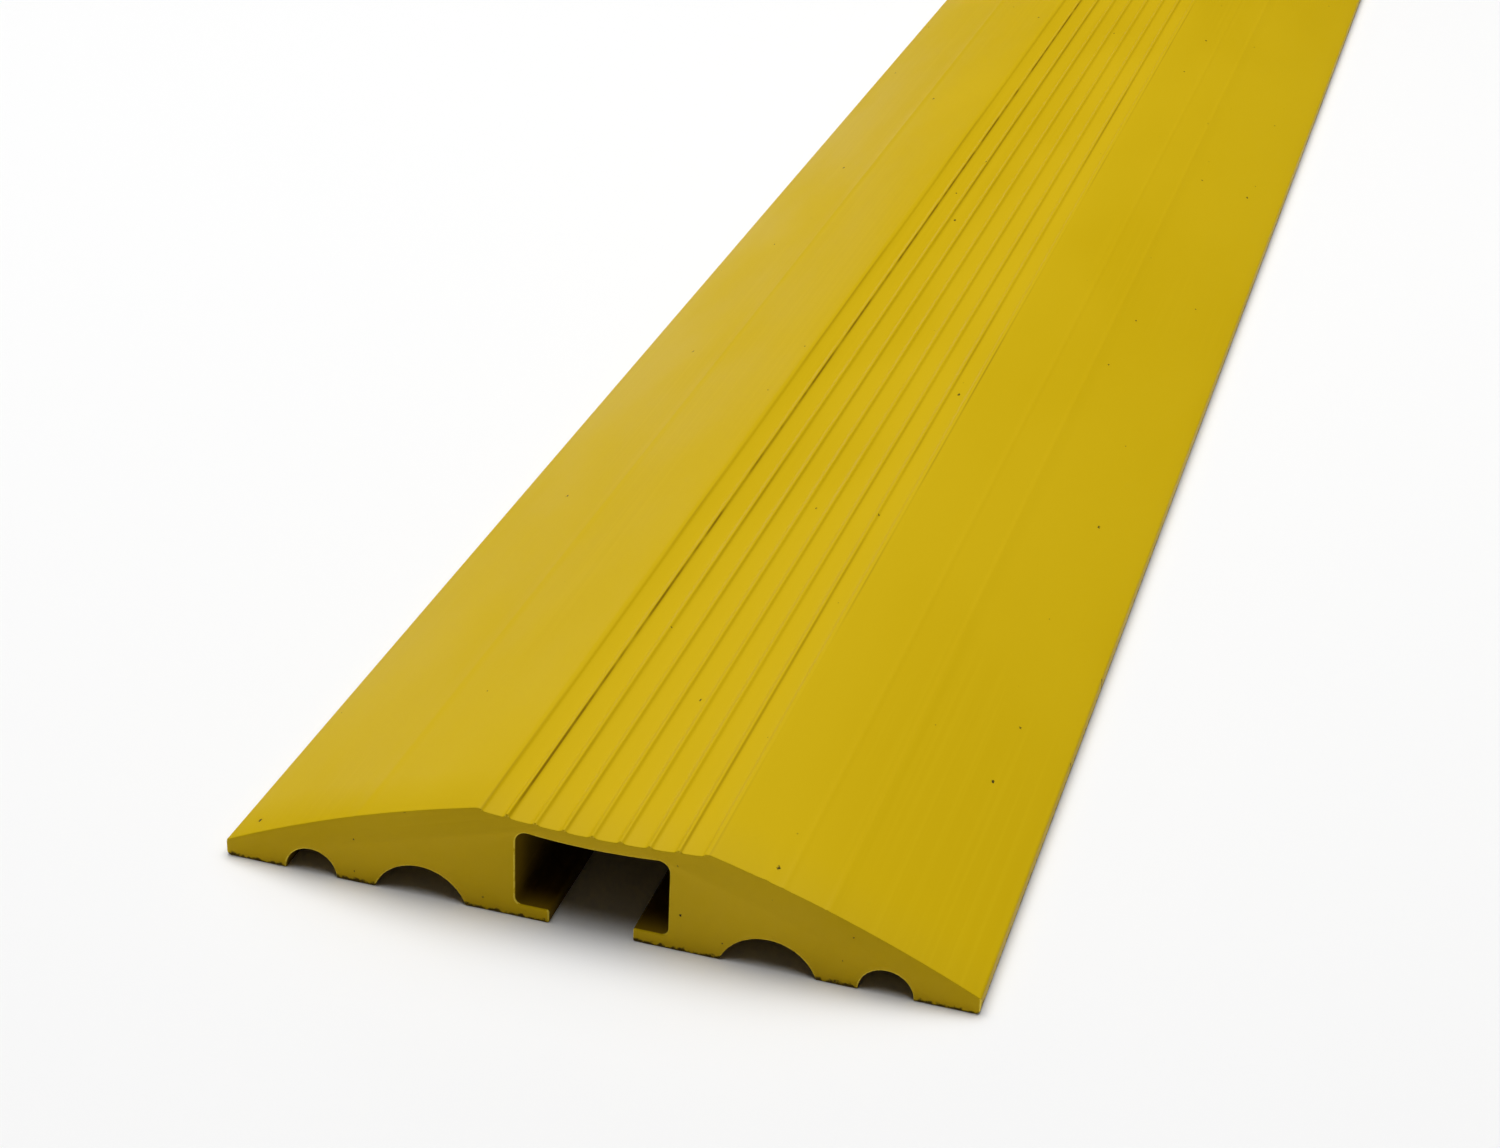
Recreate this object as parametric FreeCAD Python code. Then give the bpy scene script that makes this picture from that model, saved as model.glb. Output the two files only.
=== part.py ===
"""Cable protector ramp: one length of an extruded yellow rubber floor strip.

The strip lies flat on the floor along Y. A rectangular cable channel runs down its
middle and opens to the floor through a slot between two lips. Two arched grooves
run under each ramp, and nine low ridges run along the tread on top.

The rubber is extruded in one. It bends in four places only: along two troughs of
the tread, over the channel, where the thin roof folds and spreads the slot, and at
the roots of the two lips. Each part between those bends is a node of its own.

Axes: +X to the right across the strip, +Y along it, +Z up. The origin is on the
floor under the middle of the strip. All sizes are in millimetres.
"""

import FreeCAD, Part
import math
import os

# Overall
STRIP_LENGTH = 1000.0
OVERALL_WIDTH = 130.0

# Cable channel, the lips under it and the roof over it
CHANNEL_WIDTH = 26.4
CHANNEL_HEIGHT = 14.2  # from the lips' top to the roof, beside the walls
CEILING_SAG = 0.7  # how far the roof's underside hangs at its middle
CEILING_RADIUS = 2.0
LIP_ROOT_RADIUS = 1.2
LIP_THICKNESS = 2.5
SLOT_WIDTH = 14.5
ROOF_THICKNESS = 3.1  # from the channel's top corners to the outermost ridge

# Tread: shallow round troughs that meet in ridges, on a slightly dished top
RIDGE_COUNT = 9
RIDGE_PITCH = 4.85
TROUGH_DEPTH = 0.5
TREAD_DISH = 1.0  # how far the middle ridge lies below the outermost ones

# Ramps
EDGE_HEIGHT = 3.2  # the blunt outer edge
EDGE_RADIUS = 0.8  # its rounded bottom corner
FLANK_BULGE = 1.25  # how far the flank bows out of a straight line

# Arched grooves under each ramp
LARGE_GROOVE_WIDTH = 16.2
LARGE_GROOVE_HEIGHT = 5.7
SMALL_GROOVE_WIDTH = 9.2
SMALL_GROOVE_HEIGHT = 4.6
# The width that the grooves leave is shared by the ribs that stand on the floor:
# the one beside the channel, the one between the grooves and the outer one.
RIB_SHARES = (0.33, 0.26, 0.41)

# Worked out from the sizes above
HALF_WIDTH = OVERALL_WIDTH / 2
HALF_CHANNEL = CHANNEL_WIDTH / 2
HALF_SLOT = SLOT_WIDTH / 2
CEILING = LIP_THICKNESS + CHANNEL_HEIGHT
CREST_HEIGHT = CEILING + ROOF_THICKNESS
OUTERMOST_RIDGE = RIDGE_COUNT // 2
HALF_TREAD = RIDGE_PITCH * OUTERMOST_RIDGE
LIP_ROOT = HALF_CHANNEL - LIP_ROOT_RADIUS
RIB_TOTAL = HALF_WIDTH - HALF_CHANNEL - LARGE_GROOVE_WIDTH - SMALL_GROOVE_WIDTH
INNER_RIB, MIDDLE_RIB, OUTER_RIB = (share * RIB_TOTAL for share in RIB_SHARES)
# The roof folds along the trough that is nearest to halfway from middle to wall.
FOLD_TROUGH = math.floor(HALF_CHANNEL / 2 / RIDGE_PITCH)
FOLD_LINE = RIDGE_PITCH * (FOLD_TROUGH + 0.5)
MID_CHANNEL = LIP_THICKNESS + CHANNEL_HEIGHT / 2


def point(x, z):
    """A point of the section, which lies in the strip's front end face."""
    return FreeCAD.Vector(x, -STRIP_LENGTH / 2, z)


def line(start, end):
    return Part.makeLine(point(*start), point(*end))


def arc(start, middle, end):
    return Part.Arc(point(*start), point(*middle), point(*end)).toShape()


def corner_arc(start, corner, end):
    """A quarter circle from start to end that rounds off a square corner."""
    toward_corner = math.sqrt(2) - 1
    middle = [
        (s + e) / 2 + toward_corner * (c - (s + e) / 2)
        for s, c, e in zip(start, corner, end)
    ]
    return arc(start, middle, end)


def ridge(number):
    """The tip of a ridge: number 0 is the middle one, and they count to the right."""
    x = number * RIDGE_PITCH
    dish = TREAD_DISH * (1 - (x / HALF_TREAD) ** 2)
    return (x, CREST_HEIGHT - dish)


def trough_bottom(number):
    """The middle of the hollow between a ridge and the next one to its right."""
    left = ridge(number)
    right = ridge(number + 1)
    return ((left[0] + right[0]) / 2, (left[1] + right[1]) / 2 - TROUGH_DEPTH)


def flank(side):
    """A ramp's bowed top face, from the outermost ridge to the outer edge."""
    crest = ridge(side * OUTERMOST_RIDGE)
    edge = (side * HALF_WIDTH, EDGE_HEIGHT)
    run = HALF_WIDTH - HALF_TREAD
    drop = CREST_HEIGHT - EDGE_HEIGHT
    bow = FLANK_BULGE / math.hypot(run, drop)
    middle = (
        (crest[0] + edge[0]) / 2 + side * bow * drop,
        (crest[1] + edge[1]) / 2 + bow * run,
    )
    return arc(crest, middle, edge)


def groove(side, start, width, height):
    """An arched groove in the underside, from its inner foot outwards."""
    return arc(
        (side * start, 0), (side * (start + width / 2), height), (side * (start + width), 0)
    )


def underside(side):
    """The underside and outer edge of one ramp, from the slot outwards."""
    large_start = HALF_CHANNEL + INNER_RIB
    large_end = large_start + LARGE_GROOVE_WIDTH
    small_start = large_end + MIDDLE_RIB
    small_end = small_start + SMALL_GROOVE_WIDTH
    edge_start = HALF_WIDTH - EDGE_RADIUS
    edge = side * HALF_WIDTH
    return [
        line((side * HALF_SLOT, 0), (side * large_start, 0)),
        groove(side, large_start, LARGE_GROOVE_WIDTH, LARGE_GROOVE_HEIGHT),
        line((side * large_end, 0), (side * small_start, 0)),
        groove(side, small_start, SMALL_GROOVE_WIDTH, SMALL_GROOVE_HEIGHT),
        line((side * small_end, 0), (side * edge_start, 0)),
        corner_arc((side * edge_start, 0), (edge, 0), (edge, EDGE_RADIUS)),
        line((edge, EDGE_RADIUS), (edge, EDGE_HEIGHT)),
    ]


def channel_side(side):
    """One side of the channel's outline, from the slot up to the roof."""
    wall = side * HALF_CHANNEL
    root = side * LIP_ROOT
    lip_top = LIP_THICKNESS
    wall_start = LIP_THICKNESS + LIP_ROOT_RADIUS
    wall_end = CEILING - CEILING_RADIUS
    roof_end = side * (HALF_CHANNEL - CEILING_RADIUS)
    return [
        line((side * HALF_SLOT, 0), (side * HALF_SLOT, lip_top)),
        line((side * HALF_SLOT, lip_top), (root, lip_top)),
        corner_arc((root, lip_top), (wall, lip_top), (wall, wall_start)),
        line((wall, wall_start), (wall, wall_end)),
        corner_arc((wall, wall_end), (wall, CEILING), (roof_end, CEILING)),
    ]


def section_edges():
    """The whole outline of the section."""
    roof_end = HALF_CHANNEL - CEILING_RADIUS
    edges = [arc((-roof_end, CEILING), (0, CEILING - CEILING_SAG), (roof_end, CEILING))]
    for side in (-1, 1):
        edges += underside(side)
        edges += channel_side(side)
        edges.append(flank(side))
    for number in range(-OUTERMOST_RIDGE, OUTERMOST_RIDGE):
        edges.append(arc(ridge(number), trough_bottom(number), ridge(number + 1)))
    return edges


def whole_strip():
    """The extrusion in one piece, before it is divided at its bends."""
    outline = Part.Wire(Part.__sortEdges__(section_edges()))
    return Part.Face(outline).extrude(FreeCAD.Vector(0, STRIP_LENGTH, 0))


def block(x_from, x_to, z_from, z_to):
    """A block to cut with, as long as the strip and a little more."""
    spare = 10.0
    corner = point(min(x_from, x_to), z_from) - FreeCAD.Vector(0, spare, 0)
    return Part.makeBox(
        abs(x_to - x_from), STRIP_LENGTH + 2 * spare, z_to - z_from, corner
    )


def tread_roof(strip):
    """The thin roof over the channel, between the two fold lines."""
    return strip.common(block(-FOLD_LINE, FOLD_LINE, MID_CHANNEL, 2 * CREST_HEIGHT))


def ramp(strip, side):
    """A thick ramp with its channel wall, outwards from the fold line and the lip."""
    beyond = side * OVERALL_WIDTH
    upper = block(side * FOLD_LINE, beyond, MID_CHANNEL, 2 * CREST_HEIGHT)
    lower = block(side * LIP_ROOT, beyond, -CREST_HEIGHT, MID_CHANNEL)
    return strip.common(upper.fuse(lower).removeSplitter())


def lip(strip, side):
    """The lip that keeps the cables in, from its root to the slot."""
    return strip.common(block(0, side * LIP_ROOT, -CREST_HEIGHT, MID_CHANNEL))


strip = whole_strip()
nodes = {
    "left_ramp": ramp(strip, -1),
    "tread_roof": tread_roof(strip),
    "right_ramp": ramp(strip, 1),
    "left_lip": lip(strip, -1),
    "right_lip": lip(strip, 1),
}

os.makedirs("parts", exist_ok=True)
for name, shape in nodes.items():
    shape.removeSplitter().exportStep("parts/" + name + ".step")
    box = shape.BoundBox
    print(
        f"{name}: {box.XLength:.1f} x {box.YLength:.1f} x {box.ZLength:.1f} mm,"
        f" {shape.Volume / 1000:.1f} cm3"
    )
print(
    f"hinges at x {FOLD_LINE:.3f} z {trough_bottom(FOLD_TROUGH)[1]:.3f}"
    f" and x {LIP_ROOT:.3f} z {LIP_THICKNESS:.3f}"
)
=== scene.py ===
"""A one-metre length of yellow rubber cable protector, cut square at both ends."""
import math

import bpy
from mathutils import Matrix, Vector


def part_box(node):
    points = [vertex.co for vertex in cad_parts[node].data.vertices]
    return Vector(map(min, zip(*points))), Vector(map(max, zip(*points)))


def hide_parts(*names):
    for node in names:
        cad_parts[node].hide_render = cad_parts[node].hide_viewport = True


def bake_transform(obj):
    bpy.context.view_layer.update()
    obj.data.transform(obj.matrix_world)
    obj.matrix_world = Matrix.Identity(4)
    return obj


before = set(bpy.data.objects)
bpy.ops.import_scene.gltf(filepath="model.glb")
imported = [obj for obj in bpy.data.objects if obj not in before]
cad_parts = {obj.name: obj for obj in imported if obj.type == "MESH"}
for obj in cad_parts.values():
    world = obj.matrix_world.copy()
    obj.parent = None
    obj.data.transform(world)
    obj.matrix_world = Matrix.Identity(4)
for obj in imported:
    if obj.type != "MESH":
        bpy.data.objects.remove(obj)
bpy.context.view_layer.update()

# ---------------------------------------------------------------------------
# The strip, in two halves
# One solid extrusion of yellow rubber: a thin ribbed roof over the cable channel
# and a thick, smooth ramp on each side, with two arched grooves underneath. It is
# drawn in halves that meet along the middle ridge.
# ---------------------------------------------------------------------------

MM = 0.001
ramp_low, ramp_high = (Vector(corner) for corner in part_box("right_ramp"))
roof_low, roof_high = (Vector(corner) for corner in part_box("tread_roof"))
lip_low, lip_high = (Vector(corner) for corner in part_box("right_lip"))
FRONT, REAR = ramp_low.y, ramp_high.y
HALF_WIDTH, CREST = ramp_high.x, ramp_high.z
HALF_SLOT, LIP_ROOT, LIP_TOP = lip_low.x, lip_high.x, lip_high.z
FOLD_LINE = roof_high.x

CEILING_MIDDLE = roof_low.z
CEILING_SAG = 0.55 * MM
CEILING = CEILING_MIDDLE + CEILING_SAG
CEILING_RADIUS = 2.0 * MM
HALF_CHANNEL = 13.2 * MM
ROOT_RADIUS = HALF_CHANNEL - LIP_ROOT

RIDGE_PITCH = 4.85 * MM
RIDGES_A_SIDE = 4
HALF_TREAD = RIDGE_PITCH * RIDGES_A_SIDE
TREAD_DISH = 1.0 * MM
TROUGH_DEPTH = 0.5 * MM
TROUGH_BOW = 0.04 * MM  # how far a trough's flat bottom sags
TIP_WIDTH = 0.5 * MM  # the rounded top of a ridge
TIP_DROP = 0.08 * MM
TROUGH_SIDE = 1.0 * MM  # how far a trough's rounded side reaches from the ridge
SIDE_BOW = 0.08 * MM
SHOULDER = 0.65 * MM  # the outermost ridge is rounded over, this far down the ramp
SHOULDER_REACH = 0.55 * MM  # and this far into the tread, where it has dropped
SHOULDER_DROP = 0.21 * MM
SHOULDER_BOW = 0.095 * MM

EDGE_TOP = 3.2 * MM
EDGE_RADIUS = 0.8 * MM
NOSE_START = 0.5 * MM  # the edge rounds into the ramp from this far below its top
NOSE_RUN = 0.4 * MM
NOSE_RISE = 0.1 * MM
NOSE_BOW = 0.12 * MM
FLANK_BULGE = 1.25 * MM
DIE_LINE_WIDTH = 0.7 * MM
DIE_LINE_HEIGHT = 0.08 * MM

# Each arched groove runs from its inner foot to its outer foot and rises this high.
GROOVES = (
    (21.91 * MM, 38.11 * MM, 5.7 * MM),
    (44.98 * MM, 54.18 * MM, 4.6 * MM),
)

LIP_ROUNDING = 0.35 * MM
CUT_ROUNDING = 0.22 * MM
SECTION_SPACING = 12.5 * MM
MERGE_DISTANCE = 0.01 * MM
SHARP_ANGLE = math.radians(32)
ARC_CORNER = 1 - math.sqrt(0.5)  # how far a quarter circle bows, for each unit of radius


class Outline:
    """Draws a section in the front end plane by extruding and spinning one vertex."""

    def __init__(self, name, side, x, z):
        bpy.ops.object.select_all(action="DESELECT")
        bpy.ops.mesh.primitive_plane_add(size=MM, location=(0, 0, 0))
        self.piece = bpy.context.object
        self.piece.name = name
        self.side = side
        self.at = Vector((x, z))
        bpy.ops.object.mode_set(mode="EDIT")
        bpy.ops.mesh.select_mode(type="VERT")
        bpy.ops.mesh.merge(type="CENTER")
        bpy.ops.transform.translate(value=(side * x, FRONT, z))

    def run_to(self, x, z, steps=1):
        """A straight stretch."""
        step = (Vector((x, z)) - self.at) / steps
        for _ in range(steps):
            move = {"value": (self.side * step.x, 0, step.y)}
            bpy.ops.mesh.extrude_region_move(TRANSFORM_OT_translate=move)
        self.at = Vector((x, z))

    def arc_to(self, x, z, bow, steps):
        """A round stretch that bows out of the rubber, or into it where bow is negative."""
        end = Vector((x, z))
        chord = end - self.at
        radius = (chord.length_squared / 4 + bow * bow) / (2 * bow)
        outwards = Vector((chord.y, -chord.x)).normalized()
        centre = (self.at + end) / 2 + outwards * (bow - radius)
        turn = 4 * math.atan(2 * bow / chord.length)
        bpy.ops.mesh.spin(
            steps=steps,
            angle=self.side * turn,
            center=(self.side * centre.x, FRONT, centre.y),
            axis=(0, 1, 0),
        )
        self.at = end

    def extrude(self):
        """Closes the outline, and extrudes it to the rear end in even lengths."""
        bpy.ops.mesh.select_all(action="SELECT")
        bpy.ops.mesh.remove_doubles(threshold=MERGE_DISTANCE)
        bpy.ops.mesh.edge_face_add()
        move = {"value": (0, REAR - FRONT, 0)}
        bpy.ops.mesh.extrude_region_move(TRANSFORM_OT_translate=move)
        count = round((REAR - FRONT) / SECTION_SPACING)
        for number in range(1, count):
            bpy.ops.mesh.select_all(action="SELECT")
            level = FRONT + (REAR - FRONT) * number / count
            bpy.ops.mesh.bisect(plane_co=(0, level, 0), plane_no=(0, 1, 0))
        bpy.ops.mesh.select_all(action="SELECT")
        bpy.ops.mesh.normals_make_consistent(inside=False)
        bpy.ops.object.mode_set(mode="OBJECT")


def ridge_tip(number):
    x = number * RIDGE_PITCH
    return Vector((x, CREST - TREAD_DISH * (1 - (x / HALF_TREAD) ** 2)))


def draw_tread(outline):
    """Nine ridges, seen from the outermost one to the middle one, which is halved."""
    for number in range(RIDGES_A_SIDE, 0, -1):
        start, end = ridge_tip(number), ridge_tip(number - 1)
        tilt = (end.y - start.y) / (start.x - end.x)

        def in_trough(distance, drop):
            return start.x - distance, start.y + tilt * distance - drop

        side_low = TROUGH_DEPTH - TROUGH_BOW
        if number == RIDGES_A_SIDE:
            outline.arc_to(*in_trough(SHOULDER_REACH, SHOULDER_DROP), SHOULDER_BOW, 8)
            outline.arc_to(*in_trough(TROUGH_SIDE, side_low), -SIDE_BOW / 2, 4)
        else:
            outline.arc_to(*in_trough(TROUGH_SIDE, side_low), -SIDE_BOW, 4)
        outline.arc_to(*in_trough(RIDGE_PITCH - TROUGH_SIDE, side_low), -TROUGH_BOW, 4)
        outline.arc_to(*in_trough(RIDGE_PITCH - TIP_WIDTH / 2, TIP_DROP), -SIDE_BOW, 4)
        if number > 1:
            outline.arc_to(end.x - TIP_WIDTH / 2, end.y - TIP_DROP, TIP_DROP, 3)
        else:
            outline.arc_to(end.x, end.y, TIP_DROP / 4, 2)


def draw_flank(outline, die_lines):
    """The ramp's bowed face, with the faint raised lines that the die leaves on it."""
    low, high = Vector((HALF_WIDTH, EDGE_TOP)), Vector((HALF_TREAD, CREST))
    chord = high - low
    radius = (chord.length_squared / 4 + FLANK_BULGE**2) / (2 * FLANK_BULGE)
    outwards = Vector((chord.y, -chord.x)).normalized()
    centre = (low + high) / 2 + outwards * (FLANK_BULGE - radius)

    def on_flank(x, proud=0.0):
        reach = radius + proud
        return x, centre.y + math.sqrt(reach**2 - (x - centre.x) ** 2)

    def bow_to(x, steps):
        x, z = on_flank(x)
        bow = (Vector((x, z)) - outline.at).length_squared / (8 * radius)
        outline.arc_to(x, z, bow, steps)

    for place in sorted(die_lines, reverse=True):
        bow_to(place + DIE_LINE_WIDTH / 2, 10)
        outline.run_to(*on_flank(place, DIE_LINE_HEIGHT))
        outline.run_to(*on_flank(place - DIE_LINE_WIDTH / 2))
    bow_to(HALF_TREAD + SHOULDER, 14)


def draw_half(name, side, die_lines):
    """Half of the section, from the middle of the channel's ceiling round to the tread."""
    outline = Outline(name, side, 0, CEILING_MIDDLE)
    ceiling_end = HALF_CHANNEL - CEILING_RADIUS
    sag = CEILING - CEILING_MIDDLE
    outline.arc_to(ceiling_end, CEILING, sag / 4, 10)
    outline.arc_to(HALF_CHANNEL, CEILING - CEILING_RADIUS, -ARC_CORNER * CEILING_RADIUS, 8)
    outline.run_to(HALF_CHANNEL, LIP_TOP + ROOT_RADIUS, 2)
    outline.arc_to(LIP_ROOT, LIP_TOP, -ARC_CORNER * ROOT_RADIUS, 6)
    outline.run_to(LIP_ROOT, 0)
    for inner_foot, outer_foot, rise in GROOVES:
        outline.run_to(inner_foot, 0, 2)
        outline.arc_to(outer_foot, 0, -rise, 20)
    outline.run_to(HALF_WIDTH - EDGE_RADIUS, 0, 2)
    outline.arc_to(HALF_WIDTH, EDGE_RADIUS, ARC_CORNER * EDGE_RADIUS, 4)
    outline.run_to(HALF_WIDTH, EDGE_TOP - NOSE_START)
    outline.arc_to(HALF_WIDTH - NOSE_RUN, EDGE_TOP + NOSE_RISE, NOSE_BOW, 3)
    draw_flank(outline, die_lines)
    draw_tread(outline)
    outline.extrude()
    return outline.piece


def shut_in(place, normal):
    """Whether a face lies inside the channel or in one of the grooves."""
    spare = 0.01 * MM
    faces_down = normal.z < -0.01
    across = abs(place.x)
    in_channel = across < HALF_CHANNEL + spare and LIP_TOP - spare < place.z < CEILING
    in_slot = across < HALF_SLOT + LIP_ROUNDING and spare < place.z < LIP_TOP
    in_groove = any(low < across < high and 0 < place.z < rise for low, high, rise in GROOVES)
    return in_channel or in_slot or (in_groove and faces_down)


def end_rims(piece):
    """Rounds the outline of both cut ends a little, but not where two pieces meet.

    Then it gives the flat ends, the inside and what faces up their materials.
    """
    tiny = 0.02 * MM
    square_to_strip = 0.999
    faces_up = 0.3
    mesh = piece.data
    bpy.ops.object.select_all(action="DESELECT")
    piece.select_set(True)
    bpy.context.view_layer.objects.active = piece
    bpy.ops.object.mode_set(mode="EDIT")
    bpy.ops.mesh.select_mode(type="EDGE")
    bpy.ops.mesh.select_all(action="DESELECT")
    bpy.ops.object.mode_set(mode="OBJECT")
    for edge in mesh.edges:
        ends = [mesh.vertices[index].co for index in edge.vertices]
        at_cut = all(abs(end.y) > REAR - tiny for end in ends)
        in_seam = all(min(abs(end.x), abs(abs(end.x) - LIP_ROOT)) < tiny for end in ends)
        edge.select = at_cut and not in_seam
    bpy.ops.object.mode_set(mode="EDIT")
    bpy.ops.mesh.bevel(
        offset=CUT_ROUNDING, segments=2, affect="EDGES", clamp_overlap=False, material=RIM
    )
    bpy.ops.object.mode_set(mode="OBJECT")
    for face in mesh.polygons:
        if abs(face.normal.y) > square_to_strip:
            face.material_index = CUT
        # Faces inside the channel and the grooves take the painted shade.
        elif face.material_index == SKIN and shut_in(face.center, face.normal):
            face.material_index = INNER
        # Rim faces that point up, outside the channel and grooves, take the skin, so the
        # painted highlight stays on the other edges.
        elif face.normal.z > faces_up and not shut_in(face.center, face.normal):
            face.material_index = SKIN
    bpy.ops.object.shade_smooth_by_angle(angle=SHARP_ANGLE)


# The places of the materials in each piece's list, and the colours that they mix.
SKIN, RIM, CUT, INNER = range(4)
YELLOW = (0.56, 0.378, 0.001, 1)
PALE_YELLOW = (0.60, 0.412, 0.004, 1)
CUT_YELLOW = (0.60, 0.395, 0.006, 1)
CUT_PALE = (0.66, 0.44, 0.012, 1)
# A painted highlight for the rounded edge round the cut.
RIM_HIGHLIGHT_YELLOW = (0.92, 0.70, 0.07, 1)
# Painted shade for the inside of the channel and the grooves.
INNER_SHADE_BROWN = (0.090, 0.054, 0.003, 1)
INNER_SHADE_PALE = (0.150, 0.095, 0.008, 1)
# Painted shade at the foot of the ridges; inside the channel it paints light near the cut ends.
PAINTED_SHADE_AND_LIGHT_BROWN = (0.24, 0.14, 0.001, 1)
BASE_DARK = (0.055, 0.035, 0.005, 1)
SOOT = (0.02, 0.014, 0.006, 1)


class Nodes:
    """A node tree that is filled one node at a time."""

    def __init__(self, tree):
        self.tree = tree

    def add(self, kind, inputs=None, **settings):
        node = self.tree.nodes.new(kind)
        for name, value in settings.items():
            setattr(node, name, value)
        for name, value in (inputs or {}).items():
            if isinstance(value, bpy.types.NodeSocket):
                self.tree.links.new(value, node.inputs[name])
            else:
                node.inputs[name].default_value = value
        return node

    def math(self, operation, first, second=0.0):
        values = {0: first, 1: second}
        return self.add("ShaderNodeMath", values, operation=operation).outputs[0]

    def fade(self, value, low, high, to_low=0.0, to_high=1.0):
        """Turns low..high into to_low..to_high, softly at both ends."""
        values = {"Value": value, "From Min": low, "From Max": high}
        values.update({"To Min": to_low, "To Max": to_high})
        node = self.add("ShaderNodeMapRange", values, interpolation_type="SMOOTHSTEP")
        return node.outputs[0]

    def mix(self, share, first, second):
        values = {0: share, 6: first, 7: second}
        return self.add("ShaderNodeMix", values, data_type="RGBA").outputs[2]

    def millimetres(self, stretch=(1, 1, 1), turn=0.0):
        """The place in millimetres, stretched, and then turned about X."""
        place = self.add("ShaderNodeTexCoord").outputs["Object"]
        scale = tuple(part / MM for part in stretch)
        values = {"Vector": place, "Scale": scale, "Rotation": (turn, 0, 0)}
        return self.add("ShaderNodeMapping", values).outputs[0]

    def noise(self, scale, detail=2.0, stretch=(1, 1, 1), roughness=0.5):
        place = self.millimetres(stretch)
        values = {"Vector": place, "Scale": scale, "Detail": detail}
        values["Roughness"] = roughness
        return self.add("ShaderNodeTexNoise", values).outputs[0]

    def group(self, effect, **inputs):
        node = self.tree.nodes.new("ShaderNodeGroup")
        node.node_tree = effect
        for name, value in inputs.items():
            socket = node.inputs[name.replace("_", " ")]
            if isinstance(value, bpy.types.NodeSocket):
                self.tree.links.new(value, socket)
            else:
                socket.default_value = value
        return node.outputs[0]


def new_effect(name, output, shape, **inputs):
    """Starts a shared effect: gives its nodes, its inputs and what takes its result."""
    effect = bpy.data.node_groups.new(name, "ShaderNodeTree")
    for label, value in inputs.items():
        kinds = {float: "NodeSocketFloat", tuple: "NodeSocketColor", Vector: "NodeSocketVector"}
        kind = kinds[type(value)]
        label = label.replace("_", " ")
        socket = effect.interface.new_socket(label, in_out="INPUT", socket_type=kind)
        socket.default_value = value
    effect.interface.new_socket(output, in_out="OUTPUT", socket_type=shape)
    nodes = Nodes(effect)
    given = nodes.add("NodeGroupInput").outputs
    result = nodes.add("NodeGroupOutput").inputs[0]
    return effect, nodes, given, result


# Patches some centimetres across, and fine streaks along the extrusion.
mottling, nodes, given, result = new_effect(
    "Mottling", "Color", "NodeSocketColor", Tone=YELLOW, Pale=PALE_YELLOW, Streaks=0.3
)
patches = nodes.fade(nodes.noise(0.022, 3.0, (1.0, 0.35, 1.0)), 0.38, 0.66)
streaks = nodes.fade(nodes.noise(1.0, 3.0, (1.1, 0.006, 1.1)), 0.42, 0.68)
streaks = nodes.math("MULTIPLY", streaks, given["Streaks"])
share = nodes.math("MAXIMUM", nodes.math("MULTIPLY", patches, 0.55), streaks)
tone = nodes.mix(share, given["Tone"], given["Pale"])
nodes.tree.links.new(tone, result)

# Height in millimetres: a fine matt grain, a soft orange peel and lengthwise drag.
relief, nodes, given, result = new_effect(
    "Rubber relief", "Height", "NodeSocketFloat", Grain=0.012, Peel=0.02, Drag=0.01
)
grain = nodes.math("MULTIPLY", nodes.noise(3.2, 3.0), given["Grain"])
peel = nodes.math("MULTIPLY", nodes.noise(0.16, 2.0, (1.0, 0.5, 1.0)), given["Peel"])
drag = nodes.math("MULTIPLY", nodes.noise(1.0, 2.0, (1.6, 0.012, 1.6)), given["Drag"])
height = nodes.math("ADD", nodes.math("ADD", grain, peel), drag)
nodes.tree.links.new(height, result)

# Scattered dark specks, where a grid of this spacing keeps this share of its spots.
specks, nodes, given, result = new_effect(
    "Specks", "Mask", "NodeSocketFloat", Place=Vector(), Spacing=9.0, Share=0.3, Radius=0.3
)
scale = nodes.math("DIVIDE", 1.0, given["Spacing"])
values = {"Vector": given["Place"], "Scale": scale}
cells = nodes.add("ShaderNodeTexVoronoi", values, voronoi_dimensions="2D")
reach = nodes.math("MULTIPLY", cells.outputs["Distance"], given["Spacing"])
wobble = nodes.fade(nodes.noise(4.0, 1.0), 0.3, 0.7, -0.12, 0.12)
reach = nodes.math("ADD", reach, wobble)
picked = nodes.add("ShaderNodeSeparateColor", {"Color": cells.outputs["Color"]})
size = nodes.math("MULTIPLY", picked.outputs["Green"], given["Radius"])
inside = nodes.math("SUBTRACT", size, reach)
inside = nodes.fade(inside, 0.0, 0.08)
kept = nodes.math("LESS_THAN", picked.outputs["Red"], given["Share"])
nodes.tree.links.new(nodes.math("MULTIPLY", inside, kept), result)

# Darkens the colour near the floor, fading out this many millimetres above it.
darker_at_base, nodes, given, result = new_effect(
    "Darker at base", "Mask", "NodeSocketFloat", Reach=1.2, Strength=0.8
)
level = nodes.add("ShaderNodeSeparateXYZ", {"Vector": nodes.millimetres()}).outputs["Z"]
ragged = nodes.fade(nodes.noise(0.9, 3.0), 0.3, 0.7, 0.25, 1.0)
limit = nodes.math("MULTIPLY", given["Reach"], ragged)
low = nodes.fade(nodes.math("SUBTRACT", limit, level), -0.2, 0.35)
nodes.tree.links.new(nodes.math("MULTIPLY", low, given["Strength"]), result)


def new_rubber(name, roughness):
    """A rubber material, with its nodes and its shader."""
    material = bpy.data.materials.new(name)
    material.use_nodes = True
    nodes = Nodes(material.node_tree)
    shader = material.node_tree.nodes["Principled BSDF"]
    shader.inputs["Roughness"].default_value = roughness
    shader.inputs["Specular IOR Level"].default_value = 0.05
    return material, nodes, shader


def connect(nodes, shader, colour, roughness, height):
    """Height is in millimetres."""
    bump = nodes.add("ShaderNodeBump", {"Height": height, "Distance": MM, "Strength": 1.0})
    for socket, value in (
        ("Base Color", colour),
        ("Roughness", roughness),
        ("Normal", bump.outputs[0]),
    ):
        nodes.tree.links.new(value, shader.inputs[socket])
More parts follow.
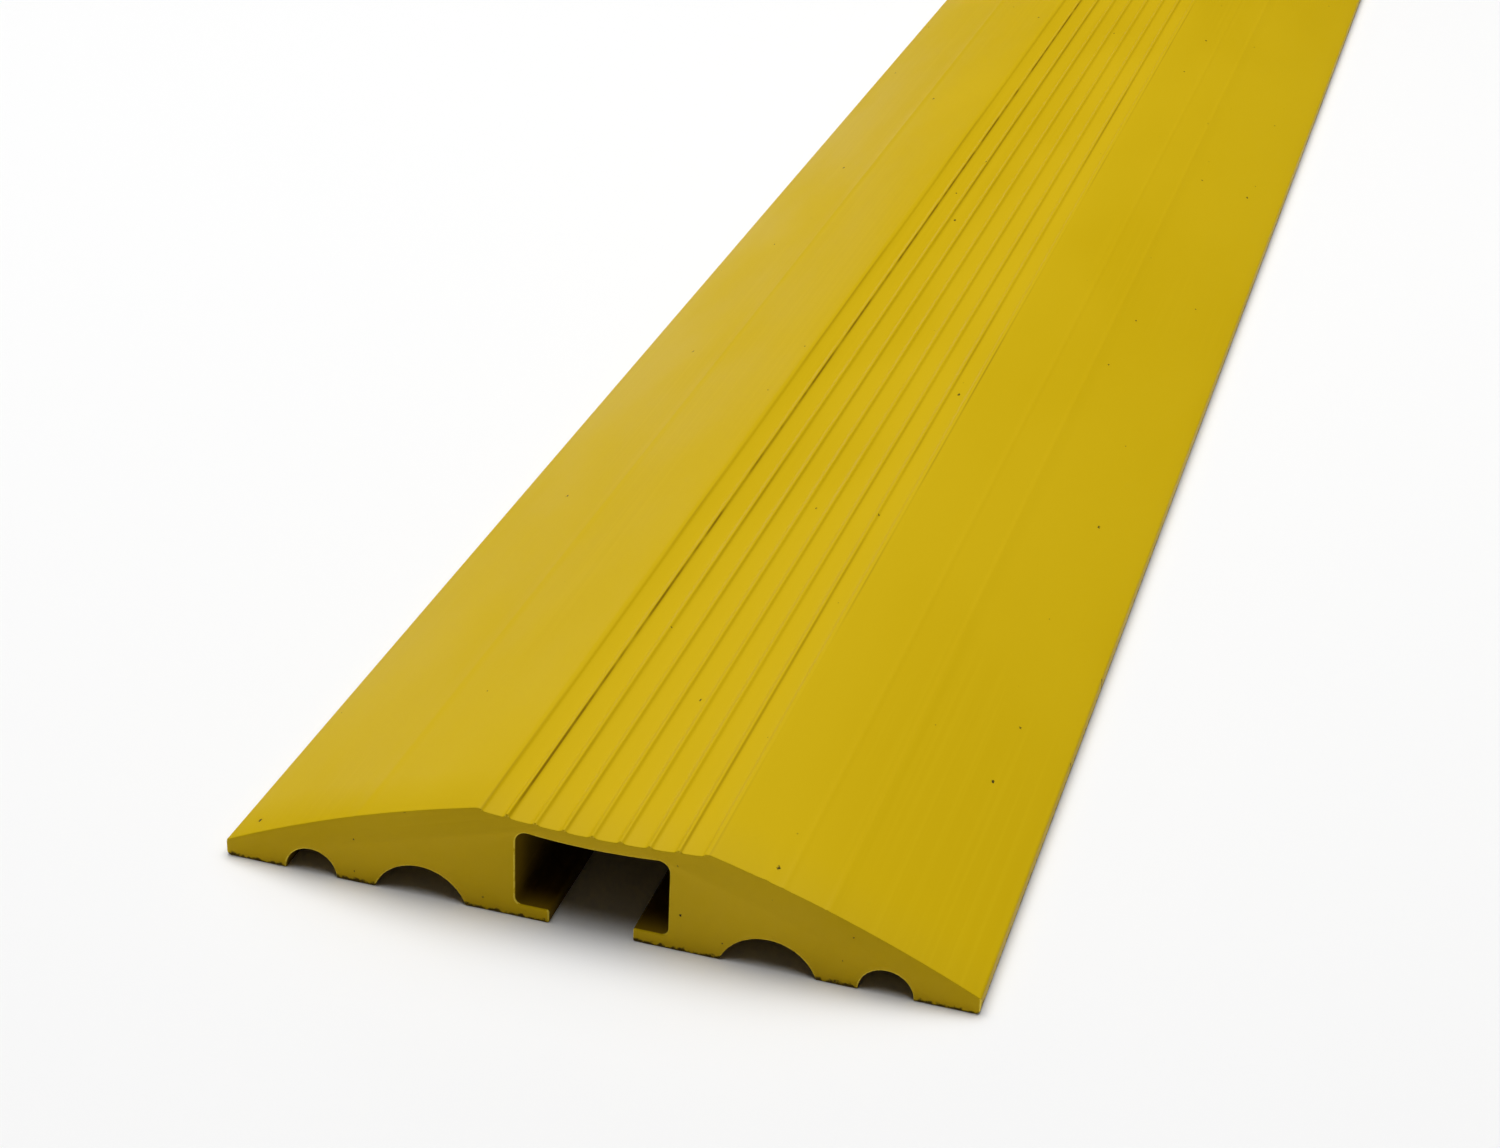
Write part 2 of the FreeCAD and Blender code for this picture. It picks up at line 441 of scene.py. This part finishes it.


# The skin that the die leaves: satin, with painted shade at the foot of each ridge, and darker
# towards the floor.
skin, nodes, shader = new_rubber("extruded_yellow_rubber", 0.45)
colour = nodes.group(mottling, Tone=YELLOW, Pale=PALE_YELLOW, Streaks=0.35)
place = nodes.add("ShaderNodeSeparateXYZ", {"Vector": nodes.millimetres()}).outputs
pitch = RIDGE_PITCH / MM
beside = nodes.math("FLOORED_MODULO", place["X"], pitch)
# A thin band of painted shade beside the foot of each ridge, on top of the tread.
at_foot = nodes.math(
    "MULTIPLY", nodes.fade(beside, 0.12, 0.28), nodes.fade(beside, 0.36, 0.7, 1.0, 0.0)
)
off_middle = nodes.math("ABSOLUTE", nodes.math("SUBTRACT", place["X"], 0.5))
on_tread = nodes.fade(off_middle, HALF_TREAD / MM, HALF_TREAD / MM + 0.5, 1.0, 0.0)
on_top = nodes.fade(place["Z"], CEILING / MM, CEILING / MM + 0.5)
uneven = nodes.fade(nodes.noise(0.2, 3.0, (1.0, 0.06, 1.0)), 0.36, 0.72, 0.04, 0.55)
from_middle = nodes.math("ABSOLUTE", nodes.math("SUBTRACT", place["X"], 0.6 * pitch))
# The painted shade is faint at the middle of the tread and full further out.
stronger_off_middle = nodes.fade(from_middle, pitch, 2.6 * pitch, 0.25, 1.0)
ridge_shade = nodes.math("MULTIPLY", nodes.math("MULTIPLY", at_foot, on_tread), uneven)
ridge_shade = nodes.math("MULTIPLY", ridge_shade, stronger_off_middle)
# A thin line of painted shade along the second ridge from the left edge.
second_ridge = nodes.math("ABSOLUTE", nodes.math("ADD", place["X"], 3 * pitch - 0.3))
line_noise = nodes.fade(nodes.noise(0.5, 3.0, (0.2, 0.12, 0.2)), 0.35, 0.6, 0.25, 0.95)
ridge_shade_line = nodes.math("MULTIPLY", nodes.fade(second_ridge, 0.08, 0.24, 1.0, 0.0), line_noise)
ridge_shade = nodes.math("MULTIPLY", nodes.math("MAXIMUM", ridge_shade, ridge_shade_line), on_top)
colour = nodes.mix(ridge_shade, colour, PAINTED_SHADE_AND_LIGHT_BROWN)
across_top = nodes.millimetres((1, 0.5, 1))
dots = nodes.group(specks, Place=across_top, Spacing=13.0, Share=0.4, Radius=0.3)
colour = nodes.mix(dots, colour, SOOT)
colour = nodes.mix(nodes.group(darker_at_base, Reach=1.7, Strength=0.75), colour, BASE_DARK)
matt = nodes.fade(nodes.noise(0.05, 3.0, (1.0, 0.3, 1.0)), 0.3, 0.7, 0.40, 0.52)
height = nodes.group(relief, Grain=0.010, Peel=0.03, Drag=0.012)
connect(nodes, shader, colour, matt, height)

# The same skin inside the channel and the grooves, painted dark brown there as shade for these
# recesses.
inner, nodes, shader = new_rubber("inner_rubber_painted_shade", 0.6)
from_cut = nodes.add("ShaderNodeSeparateXYZ", {"Vector": nodes.millimetres()}).outputs["Y"]
from_cut = nodes.math("SUBTRACT", REAR / MM, nodes.math("ABSOLUTE", from_cut))
# Painted light: the inside is lighter within 9 mm of each cut end, where light reaches in.
lit_near_cut = nodes.fade(from_cut, 0.0, 9.0, 0.55, 0.0)
colour = nodes.group(mottling, Tone=INNER_SHADE_BROWN, Pale=INNER_SHADE_PALE, Streaks=0.4)
colour = nodes.mix(lit_near_cut, colour, PAINTED_SHADE_AND_LIGHT_BROWN)
matt = nodes.fade(nodes.noise(0.1, 3.0), 0.3, 0.7, 0.55, 0.7)
height = nodes.group(relief, Grain=0.02, Peel=0.03, Drag=0.02)
connect(nodes, shader, colour, matt, height)

# The rounded edge round the cut, painted paler than the cut as a highlight line.
rim, nodes, shader = new_rubber("rim_of_the_cut_painted_highlight", 0.55)
colour = nodes.group(mottling, Tone=RIM_HIGHLIGHT_YELLOW, Pale=PALE_YELLOW, Streaks=0.0)
worn = nodes.fade(nodes.noise(0.8, 3.0), 0.45, 0.7)
colour = nodes.mix(worn, colour, CUT_YELLOW)
colour = nodes.mix(nodes.group(darker_at_base, Reach=0.9, Strength=0.9), colour, BASE_DARK)
matt = nodes.fade(nodes.noise(0.6), 0.3, 0.7, 0.5, 0.65)
height = nodes.group(relief, Grain=0.05, Peel=0.0, Drag=0.0)
connect(nodes, shader, colour, matt, height)

# The cut itself: duller and darker, with fine marks that the knife dragged across it.
cut, nodes, shader = new_rubber("cut_yellow_rubber", 0.6)
colour = nodes.group(mottling, Tone=CUT_YELLOW, Pale=CUT_PALE, Streaks=0.0)
across_cut = nodes.millimetres(turn=math.pi / 2)
dots = nodes.group(specks, Place=across_cut, Spacing=7.0, Share=0.4, Radius=0.24)
colour = nodes.mix(dots, colour, SOOT)
colour = nodes.mix(nodes.group(darker_at_base, Reach=1.0, Strength=0.95), colour, BASE_DARK)
matt = nodes.fade(nodes.noise(0.3), 0.3, 0.7, 0.52, 0.68)
knife = nodes.math("MULTIPLY", nodes.noise(1.0, 3.0, (0.12, 1.0, 2.4)), 0.03)
height = nodes.math("ADD", nodes.group(relief, Grain=0.03, Peel=0.02, Drag=0.0), knife)
connect(nodes, shader, colour, matt, height)


BURR_REACH = 0.7 * MM
TREAD_BURR_HEIGHT = 0.45 * MM
RAMP_BURR_HEIGHT = 0.4 * MM
RAMP_BURR_PLACE = (28.9 * MM, 17.2 * MM)
RIGHT_DIE_LINES = (32.0 * MM, 39.5 * MM)
LEFT_DIE_LINES = (41.0 * MM,)


def raise_burr(piece, x, z, height):
    """Drags the rubber up in a small nib, where the knife left the front edge."""
    for vertex in piece.data.vertices:
        distance = (vertex.co - Vector((x, FRONT, z))).length
        if distance < BURR_REACH:
            vertex.co.z += height * (1 - distance / BURR_REACH) ** 2


right_half = draw_half("right_half", 1, RIGHT_DIE_LINES)
left_half = draw_half("left_half", -1, LEFT_DIE_LINES)
for half in (right_half, left_half):
    for material in (skin, rim, cut, inner):
        half.data.materials.append(material)
    end_rims(half)
raise_burr(left_half, -3 * RIDGE_PITCH, ridge_tip(3).y, TREAD_BURR_HEIGHT)
raise_burr(right_half, *RAMP_BURR_PLACE, RAMP_BURR_HEIGHT)

fold = Vector((FOLD_LINE, 0, CREST))
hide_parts("right_ramp", "tread_roof")
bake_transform(right_half)
fold.x = -FOLD_LINE
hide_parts("left_ramp")
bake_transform(left_half)

# ---------------------------------------------------------------------------
# The lips
# Two thin tongues of the same extrusion, one on each side of the slot in the base.
# They bend up at their roots when a cable is pushed in, and keep it in afterwards.
# ---------------------------------------------------------------------------


def draw_lip(name, side):
    """A tongue's section, from its root along the top and back along the base."""
    outline = Outline(name, side, LIP_ROOT, 0)
    outline.run_to(LIP_ROOT, LIP_TOP)
    outline.run_to(HALF_SLOT + LIP_ROUNDING, LIP_TOP, 8)
    outline.arc_to(HALF_SLOT, LIP_TOP - LIP_ROUNDING, ARC_CORNER * LIP_ROUNDING, 3)
    outline.run_to(HALF_SLOT, LIP_ROUNDING)
    outline.arc_to(HALF_SLOT + LIP_ROUNDING, 0, ARC_CORNER * LIP_ROUNDING, 3)
    outline.run_to(LIP_ROOT, 0, 8)
    outline.extrude()
    return outline.piece


for side, hand in ((1, "right"), (-1, "left")):
    lip = draw_lip(hand + "_lip_tongue", side)
    for material in (skin, rim, cut, inner):
        lip.data.materials.append(material)
    end_rims(lip)
    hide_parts(hand + "_lip")
    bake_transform(lip)

# ---------------------------------------------------------------------------
# The floor, the light and the camera
# A white floor, a broad soft light overhead, a much larger one under the ceiling
# further back, and a low window far behind on the left.
# ---------------------------------------------------------------------------

FLOOR_SIZE = 12
FLOOR_WHITE = (0.9, 0.9, 0.9, 1)
WINDOW_TINT = (0.93, 1.0, 0.96)
WHITE = (1, 1, 1, 1)
SURROUNDINGS_LIGHT = 0.04  # how brightly the surroundings light the strip
SURROUNDINGS_SEEN = 0.7  # and how bright they look behind the floor

bpy.ops.object.select_all(action="DESELECT")
bpy.ops.mesh.primitive_plane_add(size=FLOOR_SIZE, location=(0, 0, 0))
floor = bpy.context.object
floor.name = "floor"
paint = bpy.data.materials.new("white_floor")
paint.use_nodes = True
shader = paint.node_tree.nodes["Principled BSDF"]
shader.inputs["Base Color"].default_value = FLOOR_WHITE
shader.inputs["Roughness"].default_value = 0.9
floor.data.materials.append(paint)


def add_light(name, place, target, width, height, power, colour=WHITE[:3]):
    """A rectangular light, aimed at a point. Sizes are in metres and power in watts."""
    data = bpy.data.lights.new(name, "AREA")
    data.shape = "RECTANGLE"
    data.size, data.size_y = width, height
    data.energy = power
    data.color = colour
    light = bpy.data.objects.new(name, data)
    bpy.context.collection.objects.link(light)
    light.location = place
    direction = Vector(target) - Vector(place)
    light.rotation_euler = direction.to_track_quat("-Z", "Y").to_euler()


add_light("overhead", (-0.15, -0.12, 1.8), (0, -0.2, 0), 1.8, 1.8, 36)
add_light("ceiling", (0, 3.2, 5), (0, 3.2, 0), 12, 8, 170)
add_light("window", (-1.75, 2.1, 0.5), (0, 0, 0), 1.4, 0.7, 4.5, WINDOW_TINT)

world = bpy.data.worlds.new("world")
world.use_nodes = True
surroundings = world.node_tree.nodes["Background"].inputs
surroundings["Color"].default_value = WHITE
studio = Nodes(world.node_tree)
seen = studio.add("ShaderNodeLightPath").outputs["Is Camera Ray"]
strength = studio.fade(seen, 0.0, 1.0, SURROUNDINGS_LIGHT, SURROUNDINGS_SEEN)
world.node_tree.links.new(strength, surroundings["Strength"])
bpy.context.scene.world = world
bpy.context.scene.view_settings.view_transform = "Standard"

camera_data = bpy.data.cameras.new("camera")
camera = bpy.data.objects.new("camera", camera_data)
bpy.context.collection.objects.link(camera)
camera_data.sensor_width = 36
camera_data.lens = 65.83
camera_data.clip_start = 0.01
camera.location = (0.12073, FRONT - 0.34593, 0.26405)
forward = Vector((-0.23668, 0.84845, -0.47341))
up = Vector((-0.17051, 0.44342, 0.87994))
turn = Matrix((forward.cross(up), up, -forward)).transposed()
camera.rotation_euler = turn.to_euler()
bpy.context.scene.camera = camera
